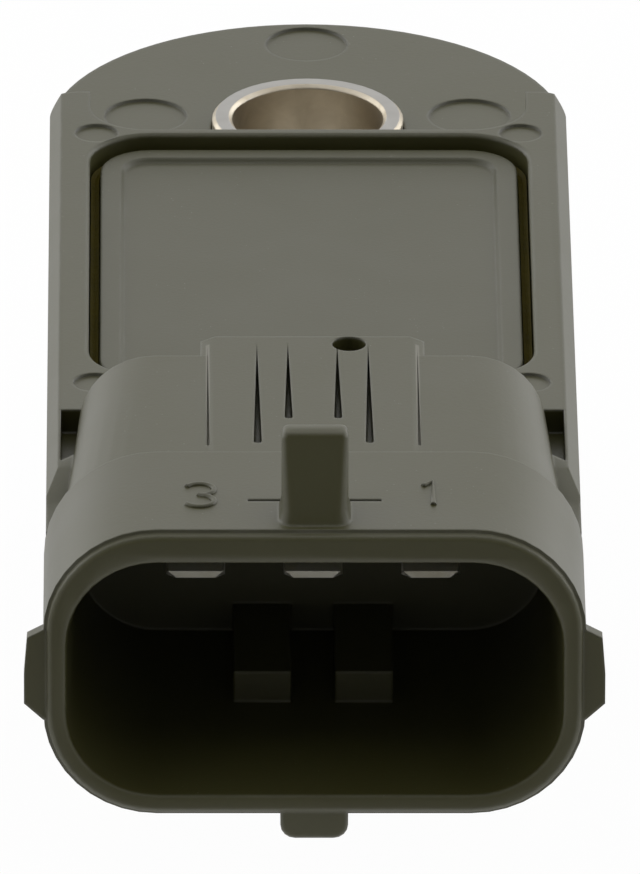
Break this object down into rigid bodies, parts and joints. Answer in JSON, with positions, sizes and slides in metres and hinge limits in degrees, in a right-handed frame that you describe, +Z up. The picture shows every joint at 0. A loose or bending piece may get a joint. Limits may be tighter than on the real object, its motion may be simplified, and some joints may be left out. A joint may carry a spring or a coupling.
{
  "type": "manifold absolute pressure sensor",
  "caption": "Flat moulded pressure sensor with a steel bush at one end, a blade plug socket at the other, a glued cover on top and a sealed port nozzle below.",
  "frame": {"origin": "axis of the pressure port where it crosses the seating plane under the flange", "axes": "+Z up through the cover, -Y out of the mouth of the plug socket, +Y towards the mounting bush, +X to the right seen from the mouth"},
  "size_m": [0.0236, 0.0621, 0.0269],
  "materials": {
    "housing_plastic": "fine-grained glass-filled moulding",
    "cover_plastic": "fine-grained moulding",
    "sealant": "satin cured sealant",
    "bush_steel": "turned and plated",
    "blade_metal": "tin-plated strip",
    "ring_rubber": "smooth rubber",
    "cell_steel": "drawn sheet",
    "cell_glass": "fused glass",
    "chip_silicon": "polished wafer",
    "bond_gold": "drawn wire",
    "capacitor_ceramic": "fired ceramic"
  },
  "bodies": {
    "root": {"housing": "housing_plastic", "cover": "cover_plastic", "cover_sealant": "sealant", "mounting_bush": "bush_steel", "port_o_ring": "ring_rubber", "terminal_1": "blade_metal", "terminal_2": "blade_metal", "terminal_3": "blade_metal", "cell_cap": "cell_steel", "cell_header": "cell_steel", "cell_seal": "sealant", "cell_lead_1": "blade_metal", "cell_lead_2": "blade_metal", "cell_lead_3": "blade_metal", "cell_lead_4": "blade_metal", "lead_glass_1": "cell_glass", "lead_glass_2": "cell_glass", "lead_glass_3": "cell_glass", "lead_glass_4": "cell_glass", "glass_base": "cell_glass", "pressure_chip": "chip_silicon", "bond_wire_1": "bond_gold", "bond_wire_2": "bond_gold", "bond_wire_3": "bond_gold", "capacitor_1": "capacitor_ceramic", "capacitor_2": "capacitor_ceramic"}
  },
  "joints": []
}
